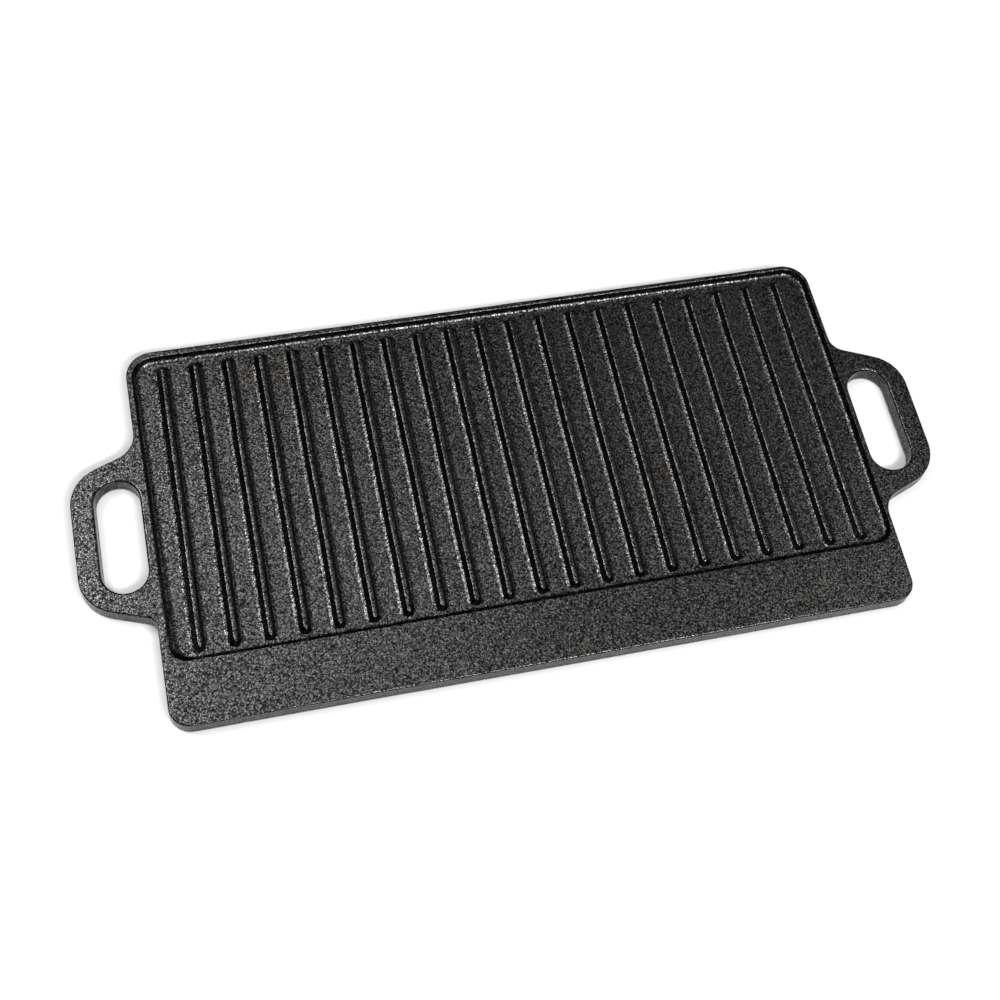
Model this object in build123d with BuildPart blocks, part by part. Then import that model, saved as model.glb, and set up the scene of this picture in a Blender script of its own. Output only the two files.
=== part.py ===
from build123d import *
import os

# A reversible griddle plate for two burners, cast in one piece of iron, ribbed side up.
# The frame has X along the length, Y from the drip apron at the front to the back, and Z up.
# The origin is the centre of the plate on the surface that it stands on. Sizes are millimetres.

# The plate and its loop handles share one outline and one height.
plate_length = 423
plate_depth = 230.5
plate_height = 11.5
front_corner_radius = 12
back_corner_radius = 16
handle_reach = 39
handle_root_half = 52.5
handle_tip_half = 37.5
handle_tip_radius = 24

# The handles are blended into the plate by hand on the pattern, so each root has its own radius.
left_back_root_radius = 15
left_front_root_radius = 6
right_back_root_radius = 10
right_front_root_radius = 14

# The sand mould parts on a level plane, and the walls lean in from it, up and down.
parting_height = 3
wall_draft = 2.5
top_edge_radius = 1.1
bottom_edge_radius = 1.4

# The window in each handle leaves a bar for the fingers.
window_offset = 0.8
window_width = 24.5
window_length = 67
window_corner_radius = 12
window_edge_radius = 1.5

# The well on the ribbed side, with the wide apron in front of it.
rim_width = 3.2
apron_depth = 36.8
well_depth = 4.2
well_corner_radius = 12
well_draft = 13
well_floor_radius = 2.6
well_lip_radius = 0.6

# The ribs stand on the well's floor and stop just under the rim.
rib_count = 21
rib_pitch = 19.05
rib_foot_width = 6.6
rib_foot_radius = 3
rib_height = 3.5
rib_draft = 32
rib_crown_radius = 1.2
rib_back_gap = 6.8
rib_front_gap = 4.9
rib_end_radius = 3.1

# The smooth side underneath: a rim to stand on, a shallow recess and, sunk in its floor near
# the front, a trough for the fat.
foot_rim_width = 7
trough_inset = 4
recess_depth = 2.8
recess_corner_radius = 8
recess_draft = 30
recess_edge_radius = 1
trough_width = 22
trough_depth = 6.8
trough_draft = 15
trough_corner_radius = 6
trough_floor_radius = 2.5

half_length = plate_length / 2
half_depth = plate_depth / 2
handle_end = half_length + handle_reach
top = Plane.XY.offset(plate_height)
parting = Plane.XY.offset(parting_height)

well_length = plate_length - 2 * rim_width
well_front = apron_depth - half_depth
well_back = half_depth - rim_width
well_width = well_back - well_front
well_middle = (well_back + well_front) / 2
well_floor = plate_height - well_depth

rib_front = well_front + rib_front_gap
rib_back = well_back - rib_back_gap
rib_length = rib_back - rib_front
rib_middle = (rib_back + rib_front) / 2

recess_length = plate_length - 2 * foot_rim_width
recess_width = plate_depth - 2 * foot_rim_width
trough_length = recess_length - 2 * trough_inset
trough_middle = foot_rim_width + trough_inset + trough_width / 2 - half_depth


def flat_face_at(part, height):
    """The largest level face at a height."""
    level = part.faces().filter_by(Axis.Z)
    return level.filter_by_position(Axis.Z, height - 0.01, height + 0.01).sort_by(SortBy.AREA)[-1]


def root_of_handle(sketch, x_side, y_side):
    """The corner where one flank of a handle meets the plate's end."""
    corner = Vector(x_side * half_length, y_side * handle_root_half)
    return sketch.vertices().sort_by_distance(corner)[0]


# The outline on the parting plane: a rounded rectangle with a tapered loop at each end.
with BuildSketch() as outline:
    Rectangle(plate_length, plate_depth)
    fillet(outline.vertices().group_by(Axis.Y)[0], front_corner_radius)
    fillet(outline.vertices().group_by(Axis.Y)[-1], back_corner_radius)
    for side in (-1, 1):
        Polygon(
            (0, -handle_root_half),
            (side * half_length, -handle_root_half),
            (side * handle_end, -handle_tip_half),
            (side * handle_end, handle_tip_half),
            (side * half_length, handle_root_half),
            (0, handle_root_half),
            align=None,
        )
    fillet(outline.vertices().group_by(Axis.X)[0], handle_tip_radius)
    fillet(outline.vertices().group_by(Axis.X)[-1], handle_tip_radius)
    fillet(root_of_handle(outline, -1, 1), left_back_root_radius)
    fillet(root_of_handle(outline, -1, -1), left_front_root_radius)
    fillet(root_of_handle(outline, 1, 1), right_back_root_radius)
    fillet(root_of_handle(outline, 1, -1), right_front_root_radius)
    # The windows go through the handles and are narrowest on the parting plane.
    window_middle = half_length + window_offset + window_width / 2
    with Locations((-window_middle, 0), (window_middle, 0)):
        RectangleRounded(window_width, window_length, window_corner_radius, mode=Mode.SUBTRACT)

# What the two halves of the mould leave: the solid slab with its handles, edges rounded.
with BuildPart() as slab:
    with BuildSketch(parting):
        add(outline.sketch)
    extrude(amount=plate_height - parting_height, taper=wall_draft)
    with BuildSketch(parting):
        add(outline.sketch)
    extrude(amount=parting_height, dir=(0, 0, -1), taper=wall_draft)
    fillet(flat_face_at(slab, plate_height).outer_wire().edges(), top_edge_radius)
    fillet(flat_face_at(slab, 0).outer_wire().edges(), bottom_edge_radius)
    for height in (0, plate_height):
        for wire in flat_face_at(slab, height).inner_wires():
            fillet(wire.edges(), window_edge_radius)

# The block of sand that forms the well.
with BuildPart() as well_core:
    with BuildSketch(top):
        with Locations((0, well_middle)):
            RectangleRounded(well_length, well_width, well_corner_radius)
    extrude(amount=-well_depth, taper=well_draft)
    fillet(flat_face_at(well_core, well_floor).edges(), well_floor_radius)

# The blocks of sand that form the smooth side's recess and its trough.
with BuildPart() as recess_core:
    with BuildSketch():
        RectangleRounded(recess_length, recess_width, recess_corner_radius)
    extrude(amount=recess_depth, taper=recess_draft)
    fillet(flat_face_at(recess_core, recess_depth).edges(), recess_edge_radius)
with BuildPart() as trough_core:
    with BuildSketch():
        with Locations((0, trough_middle)):
            RectangleRounded(trough_length, trough_width, trough_corner_radius)
    extrude(amount=trough_depth, taper=trough_draft)
    fillet(flat_face_at(trough_core, trough_depth).edges(), trough_floor_radius)

# One rib, drafted all round and crowned along its top.
with BuildPart() as rib:
    with BuildSketch():
        RectangleRounded(rib_foot_width, rib_length, rib_end_radius)
    extrude(amount=rib_height, taper=rib_draft)
    fillet(flat_face_at(rib, rib_height).edges(), rib_crown_radius)

# The casting: the slab less the cores, with the ribs rooted in the well's floor by fillets.
with BuildPart() as griddle_casting:
    add(slab.part)
    add(well_core.part, mode=Mode.SUBTRACT)
    add(recess_core.part, mode=Mode.SUBTRACT)
    add(trough_core.part, mode=Mode.SUBTRACT)
    rim_wires = flat_face_at(griddle_casting, plate_height).inner_wires()
    fillet(rim_wires.sort_by(SortBy.LENGTH)[-1].edges(), well_lip_radius)
    with Locations((0, rib_middle, well_floor)):
        with GridLocations(rib_pitch, 0, rib_count, 1):
            add(rib.part)
    for wire in flat_face_at(griddle_casting, well_floor).inner_wires():
        fillet(wire.edges(), rib_foot_radius)

griddle_casting.part.label = "griddle_casting"
os.makedirs("parts", exist_ok=True)
export_step(griddle_casting.part, "parts/griddle_casting.step")
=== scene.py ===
from math import ceil, cos, pi, radians, sin, tan

import bmesh
import bpy
import numpy as np
from mathutils import Matrix, Vector, geometry, noise
from mathutils.kdtree import KDTree


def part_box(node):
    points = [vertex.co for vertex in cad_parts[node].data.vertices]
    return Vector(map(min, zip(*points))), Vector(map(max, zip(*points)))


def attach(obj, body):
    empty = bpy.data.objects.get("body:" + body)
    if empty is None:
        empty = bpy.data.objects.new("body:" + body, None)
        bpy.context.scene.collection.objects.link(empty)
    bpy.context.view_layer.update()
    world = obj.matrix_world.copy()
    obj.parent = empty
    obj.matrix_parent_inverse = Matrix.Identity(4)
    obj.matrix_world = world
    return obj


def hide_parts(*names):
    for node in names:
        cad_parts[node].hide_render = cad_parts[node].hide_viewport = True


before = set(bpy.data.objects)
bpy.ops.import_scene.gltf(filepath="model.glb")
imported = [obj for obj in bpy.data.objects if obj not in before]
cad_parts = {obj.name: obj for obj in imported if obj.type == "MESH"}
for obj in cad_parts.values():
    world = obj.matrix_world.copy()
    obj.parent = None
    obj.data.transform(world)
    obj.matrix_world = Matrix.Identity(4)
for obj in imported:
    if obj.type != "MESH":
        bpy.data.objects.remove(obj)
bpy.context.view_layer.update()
casting_low, casting_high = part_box("griddle_casting")

# The camera: where it stands round the plate, in degrees and metres, and its lens in millimetres.
VIEW_AZIMUTH = -22.455
VIEW_ELEVATION = 64.374
VIEW_DISTANCE = 0.8483
VIEW_ROLL = 11.42
VIEW_TARGET = Vector((-0.0125, -0.0145, casting_high.z))
VIEW_LENS = 53.38
SENSOR_WIDTH = 36

# The plain floor, which the soft boxes light up to white.
FLOOR_SIZE = 6
FLOOR_TONE = 0.58
FLOOR_ROUGHNESS = 0.9

# The soft boxes: name, azimuth and elevation in degrees, radius in metres and power in watts.
# Those in front light the cove and the lip along the back rim, the others the ribs and flats.
STUDIO_RADIUS = 2
ROOM_LIGHT = 0.02
LAMPS = [
    ("key", 230, 55, 0.24, 15.6),
    ("key_left", 255, 55, 0.24, 8.9),
    ("key_back", 205, 55, 0.24, 3.3),
    ("left_high", 270, 72, 0.36, 6.7),
    ("back_high", 180, 72, 0.36, 5.1),
    ("right_high", 90, 72, 0.36, 2),
    ("right", 100, 55, 0.36, 4.8),
    ("back_right", 140, 55, 0.36, 1.2),
    ("front", 14, 50, 0.24, 20),
    ("front_left", -6, 50, 0.24, 15),
    ("front_right", 34, 50, 0.24, 26),
    ("right_low", 120, 12, 0.54, 4.5),
]

# The casting is modelled in millimetres, in the frame's axes, and scaled to metres at the end.
MILLIMETRE = 0.001
HEIGHT = casting_high.z / MILLIMETRE
HALF_REACH = casting_high.x / MILLIMETRE
HALF_DEPTH = casting_high.y / MILLIMETRE
HALF_LENGTH = 211.5
PARTING = 3
WALL_SLOPE = tan(radians(2.5))
FRONT_CORNER = 12
BACK_CORNER = 16
TIP_RADIUS = 24
ROOT_HALF = 52.5

# The outer edges' radii, and how far their section lines run on along the level faces.
TOP_EDGE = 1.1
WINDOW_EDGE = 1.5
WINDOW_LAND = 1.6
FOOT_EDGE = 1.4
FOOT_LAND = 2

# The seam left by the two halves of the sand mould: how proud it stands of the walls, half its
# width, and the radii at its foot and along its edges.
SEAM_DEPTH = 0.12
SEAM_HALF = 0.3
SEAM_COVE = 0.3
SEAM_EDGE = 0.1

# The corners of the plate and its handles, anticlockwise from the front left: x, y, radius.
OUTLINE = [
    (-HALF_LENGTH, -HALF_DEPTH, FRONT_CORNER),
    (HALF_LENGTH, -HALF_DEPTH, FRONT_CORNER),
    (HALF_LENGTH + 0.4, -ROOT_HALF, 14),
    (HALF_REACH, -38, TIP_RADIUS),
    (HALF_REACH, 36, TIP_RADIUS),
    (HALF_LENGTH + 0.6, ROOT_HALF, 10),
    (HALF_LENGTH, HALF_DEPTH, BACK_CORNER),
    (-HALF_LENGTH, HALF_DEPTH, BACK_CORNER),
    (-HALF_LENGTH, ROOT_HALF, 15),
    (-HALF_REACH, 38.5, TIP_RADIUS),
    (-HALF_REACH, -38.5, TIP_RADIUS),
    (-HALF_LENGTH, -ROOT_HALF, 6),
]

# The windows in the handles: the middle, half the width, half the length and the corners' radius.
WINDOWS = [(-224.55, 0, 12.25, 33.5, 12), (225.2, -0.7, 12.25, 33.5, 12)]

# The well, and its corners anticlockwise from the front left: x, y, radius. Two more points, with
# no radius, lie in the middle of the right side and of the back.
WELL_DEPTH = 4.2
WELL_SLOPE = tan(radians(13))
WELL = [
    (-206.4, -78.3, 10),
    (208.9, -78.3, 10),
    (209.3, 0, 0),
    (208.9, 111.9, 13),
    (-10, 111.5, 0),
    (-208, 110.9, 13),
]

# How far the edge of the well's floor is moved along X and Y, at the front left, front right,
# back right and back left: the core was not quite square to the pattern.
WELL_SHIFTS = [(2.3, 0), (-0.5, 0), (-0.2, 0), (0.4, -1.2)]
FLOOR = HEIGHT - WELL_DEPTH

# The rim is narrowest at its ends, where the section line past the lip is shortened.
WELL_REACH = (0.5, 1)

# The ribs stand on the well's floor and lean a little to the right: they are offset, and their
# feet shifted back. The feet spread less round the ends than along the sides.
RIB_COUNT = 21
RIB_PITCH = 19.05
RIB_HALF = 3.15
RIB_HEIGHT = 3.5
RIB_OFFSET = 0.5
RIB_SHIFT = (-0.48, 0)
RIB_FRONT = -73.55
RIB_BACK = 105.25
RIB_END = 3.1
RIB_REACH = (1, 0.2)

# A rib's section: the distance outward from its foot line, the height over the well's floor and
# the radius at each corner. A low ramp round the foot comes before the steep wall.
RIB_SECTION = [
    (2.2, 0, 0),
    (1.8, 0, 1),
    (0.1, 0.55, 0.8),
    (-2.05, RIB_HEIGHT, 1.5),
    (-2.9, RIB_HEIGHT, 0),
]

# The smooth side underneath, with a recess inside the foot rim and a trough for the fat.
FOOT_RIM = 7
RECESS_DEPTH = 2.8
RECESS_SLOPE = tan(radians(30))
RECESS_CORNER = 8
RECESS_X = HALF_LENGTH - FOOT_RIM
RECESS_Y = HALF_DEPTH - FOOT_RIM
TROUGH_DEPTH = 6.8
TROUGH_SLOPE = tan(radians(15))
TROUGH_CORNER = 6
TROUGH_INSET = 4
TROUGH_X = RECESS_X - TROUGH_INSET
TROUGH_FRONT = TROUGH_INSET - RECESS_Y
TROUGH_BACK = -82.25

# The walls round the sunken areas: how far the section line runs on past the lip, the lip's
# radius, the cove's radius and how far the line runs on past the foot of the wall.
WELL_EDGES = (1, 0.8, 3, 2.45)
RECESS_EDGES = (1, 0.6, 1, 1.2)
TROUGH_EDGES = (0.8, 0.6, 2.5, 2.8)

# How far the outlines and the ribs stray from true, over what length, and how far apart in the
# noise two lines are taken.
OUTLINE_STRAY = 0.16
WELL_STRAY = 0.22
RIB_STRAY = 0.3
STRAY_LENGTH = 38
SEED_STEP = 57

# The waves that a sand mould leaves, always into the metal: the length and the depth.
WAVES = [(16, 0.1), (5.2, 0.05)]

# Small dimples at seeded places: how many, and the least and the most width and depth.
NICK_SEED = 7
NICK_COUNT = 70
NICK_WIDTH = (1.5, 3)
NICK_DEPTH = (0.1, 0.3)

# The grain of the skin: the sizes of its pebbles, sand and lumps, and the height of the whole.
GRAIN = 1
SAND = 1.1
LUMP = 6
GRAIN_DEPTH = 0.1

# The pebbles are bent out of true by a noise: its scale, and how far it moves them, in metres.
BEND_SCALE = 900
BEND = 0.0012

# The baked oil: the least and the most roughness, and the size of its patches.
GLOSS = (0.2, 0.3)
GLOSS_PATCH = 2.4

# The grain's colours from its hollows to its tops, black and in faint brown patches: the dark ends are
# painted shade in the hollows, the light ends painted glints on the tops.
BLACK_SHADE_TO_GLINT = ((0.003, 0.003, 0.0031, 1), (0.2, 0.2, 0.199, 1))
BROWN_SHADE_TO_GLINT = ((0.004, 0.003, 0.0025, 1), (0.21, 0.195, 0.18, 1))
BROWN_PATCH = 55
BROWN_MOST = 0.7

# How finely the skin is divided: along straight runs, round arcs and across level faces.
RUN_STEP = 2.7
ARC_TURN = radians(9)
EDGE_TURN = radians(14)
GRID_STEP = 2.5
UNDER_STEP = 3.8
LONG_STEP = 100
RIB_TURN = 2 * ARC_TURN

# Points inside a level face keep this share of a step away from its rings.
CLEARANCE = 0.6


def rounded(corners, run_step, arc_turn, closed=True):
    """Points along a line through corners (x, y, radius), with each corner rounded.

    Gives rows of x, y and the direction outward, for a line that runs anticlockwise.
    """
    places = [Vector(corner[:2]) for corner in corners]
    count = len(corners)
    arcs = []
    for i, (here, corner) in enumerate(zip(places, corners)):
        before = (places[i - 1] - here).normalized()
        after = (places[(i + 1) % count] - here).normalized()
        if corner[2] == 0:
            arcs.append([(here, Vector((after.y - before.y, before.x - after.x)).normalized())])
            continue
        half = before.angle(after) / 2
        turn = pi - 2 * half
        centre = here + (before + after).normalized() * corner[2] / sin(half)
        spoke = here + before * corner[2] / tan(half) - centre
        side = -1 if before.cross(after) > 0 else 1
        steps = max(2, ceil(turn / arc_turn))
        spokes = [Matrix.Rotation(side * turn * k / steps, 2) @ spoke for k in range(steps + 1)]
        arcs.append([(centre + each, side * each.normalized()) for each in spokes])
    rows = []
    for i, arc in enumerate(arcs):
        rows += arc
        if closed or i < count - 1:
            start = arc[-1][0]
            run = arcs[(i + 1) % count][0][0] - start
            aside = Vector((run.y, -run.x)).normalized()
            steps = max(1, ceil(run.length / run_step))
            rows += [(start + run * k / steps, aside) for k in range(1, steps)]
    return np.array([(*place, *facing) for place, facing in rows])


def stray(loop, amount, seed):
    """Moves a loop's points in and out a little, in slow waves."""
    waves = [noise.noise(Vector((x, y, seed * SEED_STEP)) / STRAY_LENGTH) for x, y in loop[:, :2]]
    moved = loop.copy()
    moved[:, :2] += loop[:, 2:] * amount * np.array(waves)[:, None]
    return moved


def lean(loop, seed):
    """Bends a rib's outline sideways in slow waves, both of its sides alike."""
    shift = [noise.noise(Vector((seed * SEED_STEP, y / STRAY_LENGTH, 0.5))) for y in loop[:, 1]]
    moved = loop.copy()
    moved[:, 0] += RIB_STRAY * np.array(shift)
    return moved


def across(loop, values):
    """Values at the corners of a loop's box, blended to each of the loop's points."""
    low = loop[:, :2].min(axis=0)
    share = (loop[:, :2] - low) / (loop[:, :2].max(axis=0) - low)
    u, v = share[:, :1], share[:, 1:]
    front_left, front_right, back_right, back_left = np.array(values, float)
    front = front_left * (1 - u) + front_right * u
    back = back_left * (1 - u) + back_right * u
    return front * (1 - v) + back * v


def inside(points, loop):
    """Which points lie inside a loop."""
    found = np.zeros(len(points), bool)
    low = loop.min(axis=0)
    high = loop.max(axis=0)
    near = np.flatnonzero(((points >= low) & (points <= high)).all(axis=1))
    x = points[near, 0]
    y = points[near, 1]
    crossed = np.zeros(len(near), int)
    for a, b in zip(loop, np.roll(loop, -1, axis=0)):
        if a[1] != b[1]:
            spans = (a[1] > y) != (b[1] > y)
            crossed += spans & (x < a[0] + (y - a[1]) * (b[0] - a[0]) / (b[1] - a[1]))
    found[near] = crossed % 2 == 1
    return found


class Skin:
    """Gathers the vertices and faces of the casting's closed skin."""

    def __init__(self):
        self.places = []
        self.faces = []

    def ring(self, loop, offset, height, reach, shift):
        """Adds a ring of vertices round a loop, moved outward, and gives their numbers."""
        first = len(self.places)
        moved = loop[:, :2] + loop[:, 2:] * offset * (reach if offset > 0 else (1, 1))
        if shift is not None:
            moved = moved + shift * (HEIGHT - height) / WELL_DEPTH
        self.places += [(x, y, height) for x, y in moved]
        return list(range(first, first + len(moved)))

    def wall(self, loop, profile, reach=(1, 1), shift=None):
        """Adds faces round a loop that follow a profile (offset, height), and gives its end rings.

        The offsets outside the loop are multiplied by reach, along X and along Y. At the height of
        the well's floor everything is moved by shift, and above it in proportion.
        """
        rings = [self.ring(loop, offset, height, reach, shift) for offset, height in profile]
        for a, b in zip(rings, rings[1:]):
            self.faces += zip(a, b, b[1:] + b[:1], a[1:] + a[:1])
        return rings[0], rings[-1]

    def level(self, rings, step):
        """Adds a level face inside the first ring and outside the others."""
        loops = [np.array([self.places[v] for v in ring])[:, :2] for ring in rings]
        height = self.places[rings[0][0]][2]
        numbers = [v for ring in rings for v in ring]
        edges = []
        for ring in rings:
            first = len(edges)
            last = first + len(ring) - 1
            edges += [(k, k + 1) for k in range(first, last)] + [(last, first)]
        inner = self.between(loops, step)
        numbers += range(len(self.places), len(self.places) + len(inner))
        self.places += [(x, y, height) for x, y in inner]
        flat = np.concatenate(loops + [inner])
        out = geometry.delaunay_2d_cdt([Vector(p) for p in flat], edges, [], 0, 1e-7)
        came_from = [ids[0] for ids in out[3]]
        triangles = np.array([[came_from[v] for v in face] for face in out[2]])
        middles = flat[triangles].mean(axis=1)
        kept = inside(middles, loops[0])
        for loop in loops[1:]:
            kept &= ~inside(middles, loop)
        self.faces += [tuple(numbers[v] for v in face) for face in triangles[kept]]

    def between(self, loops, step):
        """A honeycomb of points inside the first loop, clear of every loop."""
        low = loops[0].min(axis=0)
        high = loops[0].max(axis=0)
        rows = np.arange(low[1], high[1], step * sin(radians(60)))
        columns = np.arange(low[0], high[0], step)
        grid = np.array([
            (x + (r % 2) * step / 2, y) for r, y in enumerate(rows) for x in columns
        ]).reshape(-1, 2)
        kept = inside(grid, loops[0])
        for loop in loops[1:]:
            kept &= ~inside(grid, loop)
        grid = grid[kept]
        edge = np.concatenate([np.concatenate([a, (a + np.roll(a, 1, axis=0)) / 2]) for a in loops])
        tree = KDTree(len(edge))
        for k, (x, y) in enumerate(edge):
            tree.insert((x, y, 0), k)
        tree.balance()
        clear = [tree.find((x, y, 0))[2] > CLEARANCE * step for x, y in grid]
        return grid[clear].reshape(-1, 2) if len(grid) else grid


def add_camera():
    """The camera looks down on the ribbed side from the front and a little to the left."""
    data = bpy.data.cameras.new("camera")
    data.lens = VIEW_LENS
    data.sensor_width = SENSOR_WIDTH
    camera = bpy.data.objects.new("camera", data)
    bpy.context.scene.collection.objects.link(camera)
    back = toward(VIEW_AZIMUTH, VIEW_ELEVATION)
    turn = back.to_track_quat("Z", "Y").to_matrix().to_4x4()
    roll = Matrix.Rotation(radians(VIEW_ROLL), 4, "Z")
    camera.matrix_world = Matrix.Translation(VIEW_TARGET + back * VIEW_DISTANCE) @ turn @ roll
    bpy.context.scene.camera = camera


def add_floor():
    """A plain pale floor under the plate."""
    bpy.ops.mesh.primitive_plane_add(size=FLOOR_SIZE)
    floor = bpy.context.object
    floor.name = "floor"
    material = bpy.data.materials.new("floor")
    material.use_nodes = True
    shader = material.node_tree.nodes["Principled BSDF"]
    shader.inputs["Base Color"].default_value = (FLOOR_TONE, FLOOR_TONE, FLOOR_TONE, 1)
    shader.inputs["Roughness"].default_value = FLOOR_ROUGHNESS
    floor.data.materials.append(material)


def toward(azimuth, elevation):
    """The direction from the plate at an azimuth, from the front towards the right, and an elevation."""
    around = radians(azimuth)
    above = radians(elevation)
    return Vector((sin(around) * cos(above), -cos(around) * cos(above), sin(above)))


def add_soft_lamp(name, azimuth, elevation, radius, power):
    """A round soft box at the studio's distance, aimed at the plate."""
    data = bpy.data.lights.new(name, "AREA")
    data.shape = "DISK"
    data.size = 2 * radius
    data.energy = power
    lamp = bpy.data.objects.new(name, data)
    bpy.context.scene.collection.objects.link(lamp)
    direction = toward(azimuth, elevation)
    turn = direction.to_track_quat("Z", "Y").to_matrix().to_4x4()
    lamp.matrix_world = Matrix.Translation(direction * STUDIO_RADIUS) @ turn


def light_studio():
    """Soft boxes round the plate in a dim room, the strongest in front and behind on the left."""
    scene = bpy.context.scene
    scene.view_settings.view_transform = "Standard"
    world = bpy.data.worlds.new("studio")
    world.use_nodes = True
    world.node_tree.nodes["Background"].inputs["Color"].default_value = (1, 1, 1, 1)
    world.node_tree.nodes["Background"].inputs["Strength"].default_value = ROOM_LIGHT
    scene.world = world
    for lamp in LAMPS:
        add_soft_lamp(*lamp)


def block(x, y, half_x, half_y, radius):
    """The corners of an upright rectangle, anticlockwise."""
    return [
        (x - half_x, y - half_y, radius),
        (x + half_x, y - half_y, radius),
        (x + half_x, y + half_y, radius),
        (x - half_x, y + half_y, radius),
    ]


def section(*corners):
    """A section line (offset, height) with rounded corners, undivided along its straight runs."""
    return rounded(corners, LONG_STEP, EDGE_TURN, closed=False)[:, :2]


def outer_section():
    """Down the outer wall, from the top face over the seam to the foot."""
    top = -(HEIGHT - PARTING) * WALL_SLOPE - SEAM_DEPTH
    foot = -PARTING * WALL_SLOPE - SEAM_DEPTH
    return section(
        (top - TOP_EDGE, HEIGHT, 0),
        (top, HEIGHT, TOP_EDGE),
        (-SEAM_DEPTH, PARTING + 2 * SEAM_HALF, SEAM_COVE),
        (0, PARTING + SEAM_HALF, SEAM_EDGE),
        (0, PARTING - SEAM_HALF, SEAM_EDGE),
        (-SEAM_DEPTH, PARTING - 2 * SEAM_HALF, 0),
        (foot, 0, FOOT_EDGE),
        (foot - FOOT_LAND, 0, 0),
    )


def window_section():
    """Down a window's wall, which is narrowest at the seam. Offsets go into the metal."""
    top = (HEIGHT - PARTING) * WALL_SLOPE + SEAM_DEPTH
    foot = PARTING * WALL_SLOPE + SEAM_DEPTH
    return section(
        (top + WINDOW_LAND, HEIGHT, 0),
        (top, HEIGHT, WINDOW_EDGE),
        (SEAM_DEPTH, PARTING + 2 * SEAM_HALF, SEAM_COVE),
        (0, PARTING + SEAM_HALF, SEAM_EDGE),
        (0, PARTING - SEAM_HALF, SEAM_EDGE),
        (SEAM_DEPTH, PARTING - 2 * SEAM_HALF, 0),
        (foot, 0, FOOT_EDGE),
        (foot + FOOT_LAND, 0, 0),
    )


def sunken_section(edges, run, top, floor):
    """Along the wall round a sunken area, whose floor is inset by run from its lip."""
    lip_land, lip, cove, cove_land = edges
    return section(
        (lip_land, top, 0),
        (0, top, lip),
        (-run, floor, cove),
        (-run - cove_land, floor, 0),
    )


def cast_outer_walls(skin):
    """The walls round the plate and in the handles' windows. Gives their top and foot rings."""
    outline = stray(rounded(OUTLINE, RUN_STEP, ARC_TURN), OUTLINE_STRAY, 1)
    walls = [skin.wall(outline, outer_section())]
    for window in WINDOWS:
        walls.append(skin.wall(rounded(block(*window), RUN_STEP, ARC_TURN), window_section()))
    return [top for top, foot in walls], [foot for top, foot in walls]


def cast_well_wall(skin):
    """The wall round the well. Gives its lip's ring and its floor's."""
    well = stray(rounded(WELL, RUN_STEP, ARC_TURN), WELL_STRAY, 2)
    profile = sunken_section(WELL_EDGES, WELL_DEPTH * WELL_SLOPE, HEIGHT, FLOOR)
    return skin.wall(well, profile, WELL_REACH, across(well, WELL_SHIFTS))


def cast_ribs(skin):
    """The ribs, with their crowns closed. Gives their foot rings."""
    profile = section(*((out, FLOOR + up, radius) for out, up, radius in RIB_SECTION))
    middle = (RIB_FRONT + RIB_BACK) / 2
    feet = []
    for i in range(RIB_COUNT):
        x = (i - (RIB_COUNT - 1) / 2) * RIB_PITCH + RIB_OFFSET
        rib = block(x, middle, RIB_HALF, (RIB_BACK - RIB_FRONT) / 2, RIB_END)
        loop = lean(rounded(rib, RUN_STEP, RIB_TURN), i + 1)
        foot, crown = skin.wall(loop, profile, RIB_REACH, np.array(RIB_SHIFT))
        feet.append(foot)
        skin.level([crown], GRID_STEP)
    return feet


def cast_smooth_side(skin, foot_rings):
    """The foot rim underneath, the recess inside it and the trough sunk in the recess."""
    recess = rounded(block(0, 0, RECESS_X, RECESS_Y, RECESS_CORNER), RUN_STEP, ARC_TURN)
    profile = sunken_section(RECESS_EDGES, RECESS_DEPTH * RECESS_SLOPE, 0, RECESS_DEPTH)
    recess_lip, recess_edge = skin.wall(recess, profile)
    skin.level(foot_rings + [recess_lip], UNDER_STEP)
    middle = (TROUGH_FRONT + TROUGH_BACK) / 2
    half = (TROUGH_BACK - TROUGH_FRONT) / 2
    trough = rounded(block(0, middle, TROUGH_X, half, TROUGH_CORNER), RUN_STEP, ARC_TURN)
    run = (TROUGH_DEPTH - RECESS_DEPTH) * TROUGH_SLOPE
    profile = sunken_section(TROUGH_EDGES, run, RECESS_DEPTH, TROUGH_DEPTH)
    trough_lip, trough_edge = skin.wall(trough, profile)
    skin.level([recess_edge, trough_lip], UNDER_STEP)
    skin.level([trough_edge], UNDER_STEP)


def cast_griddle():
    """Builds the whole skin, in millimetres."""
    skin = Skin()
    top_rings, foot_rings = cast_outer_walls(skin)
    lip, floor_edge = cast_well_wall(skin)
    skin.level(top_rings + [lip], GRID_STEP)
    skin.level([floor_edge] + cast_ribs(skin), GRID_STEP)
    cast_smooth_side(skin, foot_rings)
    return skin


def make_mesh(skin):
    """Turns the skin into a smooth closed mesh, in metres, with its faces outward."""
    mesh = bpy.data.meshes.new("cast_griddle")
    mesh.from_pydata([Vector(p) * MILLIMETRE for p in skin.places], [], skin.faces)
    shape = bmesh.new()
    shape.from_mesh(mesh)
    bmesh.ops.recalc_face_normals(shape, faces=shape.faces)
    shape.to_mesh(mesh)
    shape.free()
    mesh.shade_smooth()
    weather(mesh)
    return mesh


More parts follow.
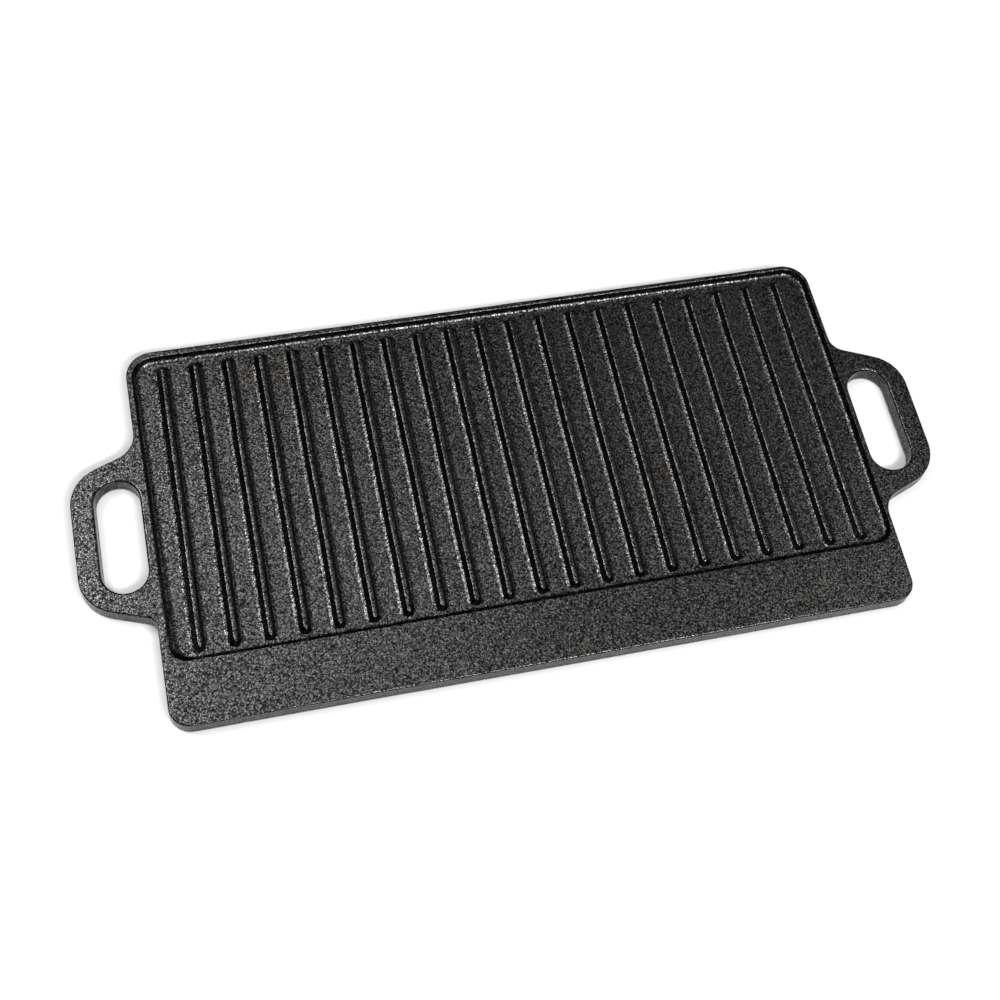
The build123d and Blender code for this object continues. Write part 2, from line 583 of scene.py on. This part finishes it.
def weather(mesh):
    """Gives the skin a casting's waves and dimples, always into the metal."""
    count = len(mesh.vertices) * 3
    places = np.empty(count, np.float32)
    facing = np.empty(count, np.float32)
    mesh.vertices.foreach_get("co", places)
    mesh.vertex_normals.foreach_get("vector", facing)
    places = places.reshape(-1, 3) / MILLIMETRE
    facing = facing.reshape(-1, 3)
    depth = np.zeros(len(places))
    for length, deep in WAVES:
        lumps = [noise.noise(Vector(p) / length) for p in places]
        depth += deep * (0.5 + 0.5 * np.array(lumps))
    chance = np.random.default_rng(NICK_SEED)
    for spot in chance.choice(len(places), NICK_COUNT, replace=False):
        wide = chance.uniform(*NICK_WIDTH)
        away = np.linalg.norm(places - places[spot], axis=1)
        depth += chance.uniform(*NICK_DEPTH) * np.exp(-(away / wide) ** 2)
    places -= facing * depth[:, None]
    places = places.clip(Vector(casting_low) / MILLIMETRE, Vector(casting_high) / MILLIMETRE)
    mesh.vertices.foreach_set("co", (places * MILLIMETRE).ravel())
    mesh.update()


class Nodes:
    """Builds a material's nodes, with short calls for each kind."""

    def __init__(self, name):
        self.material = bpy.data.materials.new(name)
        self.material.use_nodes = True
        self.tree = self.material.node_tree
        self.shader = self.tree.nodes["Principled BSDF"]

    def add(self, kind, settings=None, **inputs):
        """Adds a node, with its settings, and its inputs as numbers or as other nodes' outputs."""
        node = self.tree.nodes.new("ShaderNode" + kind)
        for key, value in (settings or {}).items():
            setattr(node, key, value)
        for key, value in inputs.items():
            self.feed(node.inputs[key.replace("_", " ")], value)
        return node

    def feed(self, socket, value):
        """Links an output to a socket, or sets the socket to a value."""
        if isinstance(value, bpy.types.NodeSocket):
            self.tree.links.new(value, socket)
        else:
            socket.default_value = value

    def noise(self, place, length, detail=2, rough=0.5):
        """Soft noise, from 0 to 1, with lumps of a length in millimetres."""
        scale = 1 / (length * MILLIMETRE)
        node = self.add("TexNoise", Vector=place, Scale=scale, Detail=detail, Roughness=rough)
        return node.outputs["Fac"]

    def pebbles(self, place, length, soft):
        """The distance from the middles of rounded grains of a size in millimetres."""
        settings = {"feature": "SMOOTH_F1"}
        scale = 1 / (length * MILLIMETRE)
        node = self.add("TexVoronoi", settings, Vector=place, Scale=scale, Smoothness=soft)
        return node.outputs["Distance"]

    def spread(self, value, low, high, to_low, to_high):
        """Moves the range low..high of a value to to_low..to_high, and stops at its ends."""
        node = self.add("MapRange", None, Value=value, From_Min=low, From_Max=high)
        node.inputs["To Min"].default_value = to_low
        node.inputs["To Max"].default_value = to_high
        return node.outputs["Result"]

    def maths(self, operation, a, b):
        """Two values added, multiplied and so on."""
        node = self.add("Math", {"operation": operation})
        self.feed(node.inputs[0], a)
        self.feed(node.inputs[1], b)
        return node.outputs["Value"]

    def mix(self, amount, a, b):
        """A colour between two colours."""
        node = self.add("Mix", {"data_type": "RGBA"})
        self.feed(node.inputs["Factor"], amount)
        # The node also has sockets for numbers and vectors: 6, 7 and the output 2 are the colours.
        self.feed(node.inputs[6], a)
        self.feed(node.inputs[7], b)
        return node.outputs[2]


def iron_material():
    """Black seasoned iron: a pebbled as-cast skin under a thin satin film of baked oil, its colour
    painted darker in the grain's hollows as shade and lighter on its tops as glints.
    """
    iron = Nodes("seasoned_iron")
    place = iron.add("TexCoord").outputs["Object"]
    drift = iron.add("TexNoise", Vector=place, Scale=BEND_SCALE, Detail=1).outputs["Color"]
    bent = iron.add("VectorMath", {"operation": "MULTIPLY_ADD"})
    iron.feed(bent.inputs[0], drift)
    iron.feed(bent.inputs[1], (BEND, BEND, BEND))
    iron.feed(bent.inputs[2], place)
    grains = iron.pebbles(bent.outputs["Vector"], GRAIN, 0.25)
    grains = iron.spread(grains, 0.1, 0.75, 1, 0)
    sand = iron.noise(place, SAND, 1, 0.6)
    lumps = iron.noise(place, LUMP)
    height = iron.maths("MULTIPLY", grains, 0.6)
    height = iron.maths("ADD", height, iron.maths("MULTIPLY", sand, 0.9))
    height = iron.maths("ADD", height, iron.maths("MULTIPLY", lumps, 0.6))
    bump = iron.add("Bump", None, Height=height, Strength=1.0, Distance=GRAIN_DEPTH * MILLIMETRE)
    iron.feed(iron.shader.inputs["Normal"], bump.outputs["Normal"])
    gloss = iron.spread(iron.noise(place, GLOSS_PATCH), 0.3, 0.7, *GLOSS)
    iron.feed(iron.shader.inputs["Roughness"], gloss)
    iron.feed(iron.shader.inputs["Metallic"], 1.0)
    # Painted shade and glints: the colour follows the grain's height, dark in the hollows and bright on
    # the tops, in black and in faint brown patches.
    painted_grain_shade_and_glint = iron.maths("ADD", iron.maths("MULTIPLY", grains, 0.5), sand)
    painted_grain_shade_and_glint = iron.spread(painted_grain_shade_and_glint, 0.3, 1.25, 0, 1)
    painted_grain_shade_and_glint = iron.maths("POWER", painted_grain_shade_and_glint, 2.2)
    black_shade_and_glint = iron.mix(painted_grain_shade_and_glint, *BLACK_SHADE_TO_GLINT)
    brown_shade_and_glint = iron.mix(painted_grain_shade_and_glint, *BROWN_SHADE_TO_GLINT)
    patches = iron.spread(iron.noise(place, BROWN_PATCH, 3), 0.55, 0.8, 0, BROWN_MOST)
    iron.feed(iron.shader.inputs["Base Color"], iron.mix(patches, black_shade_and_glint, brown_shade_and_glint))
    return iron.material


add_camera()
add_floor()
light_studio()

casting = bpy.data.objects.new("cast_griddle", make_mesh(cast_griddle()))
bpy.context.scene.collection.objects.link(casting)
casting.data.materials.append(iron_material())
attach(casting, "root")
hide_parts("griddle_casting")
